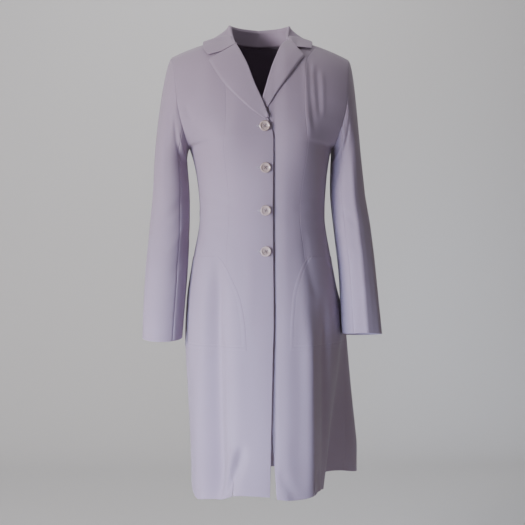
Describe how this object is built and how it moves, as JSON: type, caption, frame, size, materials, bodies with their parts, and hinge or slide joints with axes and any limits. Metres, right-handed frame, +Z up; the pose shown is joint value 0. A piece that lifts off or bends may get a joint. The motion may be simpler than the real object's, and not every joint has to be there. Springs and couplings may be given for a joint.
{
  "type": "long jacket",
  "caption": "Long fitted single-breasted jacket in grey-lilac cloth, with notched lapels, four buttons, curved patch pockets and hem slits, filled out and empty.",
  "frame": {"origin": "middle of the neck, level with the side of the neckline, where the wearer's neck and shoulders hold the jacket", "axes": "+Z up, the front faces -Y, the wearer's right is at -X"},
  "size_m": [0.5323, 0.344, 1.048],
  "materials": {
    "cloth": "matt, soft sheen",
    "thread": "matt",
    "button": "gloss"
  },
  "bodies": {
    "root": {"front_right": "cloth", "front_left": "cloth", "side_front_right": "cloth", "side_front_left": "cloth", "back_right": "cloth", "back_left": "cloth", "lapel_right": "cloth", "lapel_left": "cloth", "collar": "cloth", "collar_stand": "cloth", "top_sleeve_right": "cloth", "under_sleeve_right": "cloth", "top_sleeve_left": "cloth", "under_sleeve_left": "cloth", "pocket_right": "cloth", "pocket_left": "cloth", "button_1": "button", "button_2": "button", "button_3": "button", "button_4": "button"}
  },
  "joints": []
}
